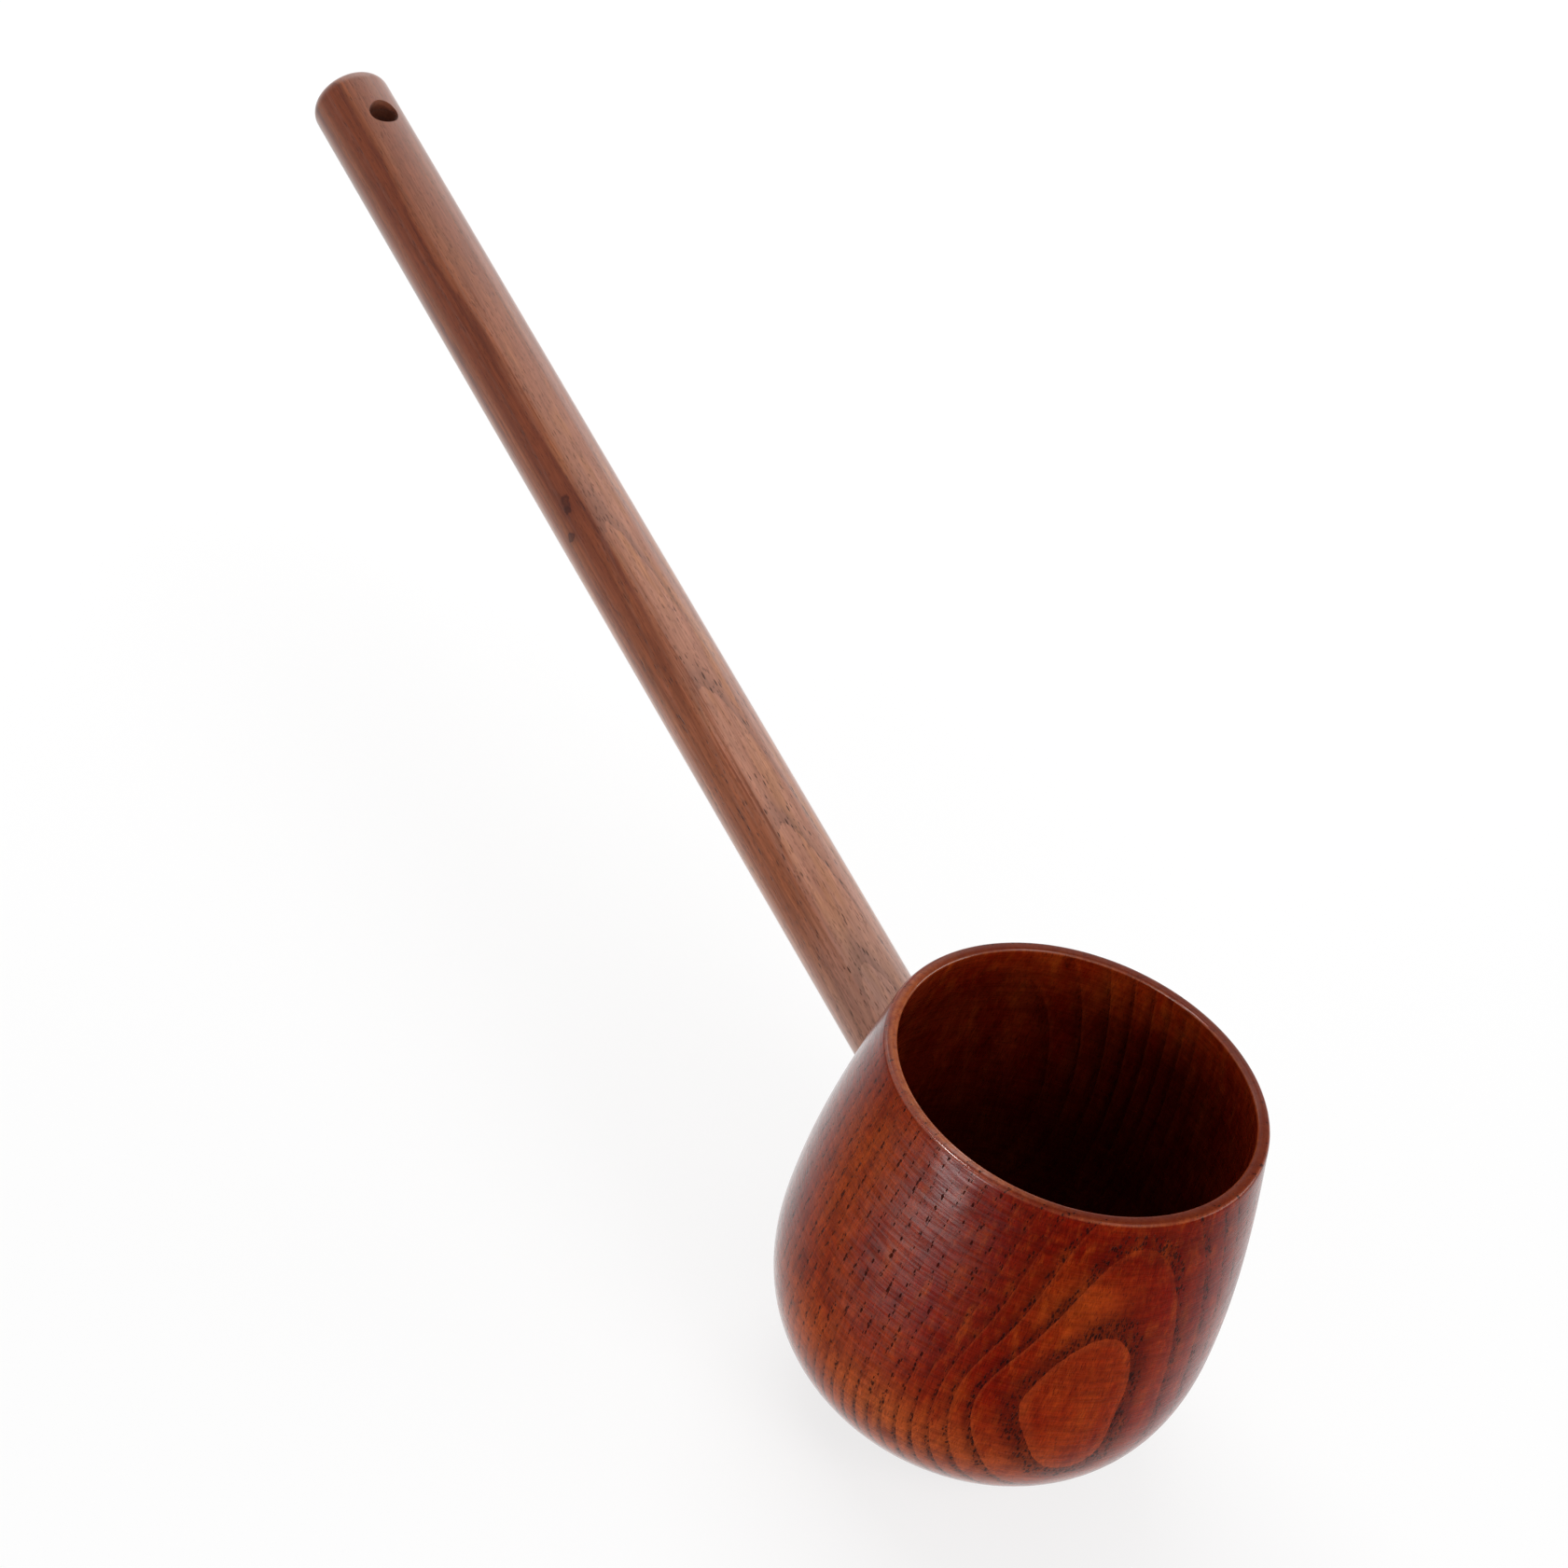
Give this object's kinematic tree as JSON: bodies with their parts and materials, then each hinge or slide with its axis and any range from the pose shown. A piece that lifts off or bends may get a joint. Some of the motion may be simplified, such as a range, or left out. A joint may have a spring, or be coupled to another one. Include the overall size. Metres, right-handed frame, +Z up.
{
  "type": "wooden ladle",
  "caption": "Long-handled wooden water ladle: a turned, round-bellied cup with a straight round rod handle, coped and dowelled to the cup's side and drilled near its tip for hanging.",
  "frame": {"origin": "centre of the cup's flat foot", "axes": "+Z up along the cup's axis, +X from the cup towards the handle's tip, +Y to the side; XZ is the ladle's mirror plane"},
  "size_m": [0.3151, 0.08, 0.1024],
  "materials": {
    "cup_wood": "lacquered, semi-gloss, reddish brown",
    "handle_wood": "satin, dark brown with streaks",
    "dowel_wood": "plain hardwood, flush with the bowl"
  },
  "bodies": {
    "root": {"cup": "cup_wood", "handle": "handle_wood", "joint_dowel": "dowel_wood"}
  },
  "joints": []
}
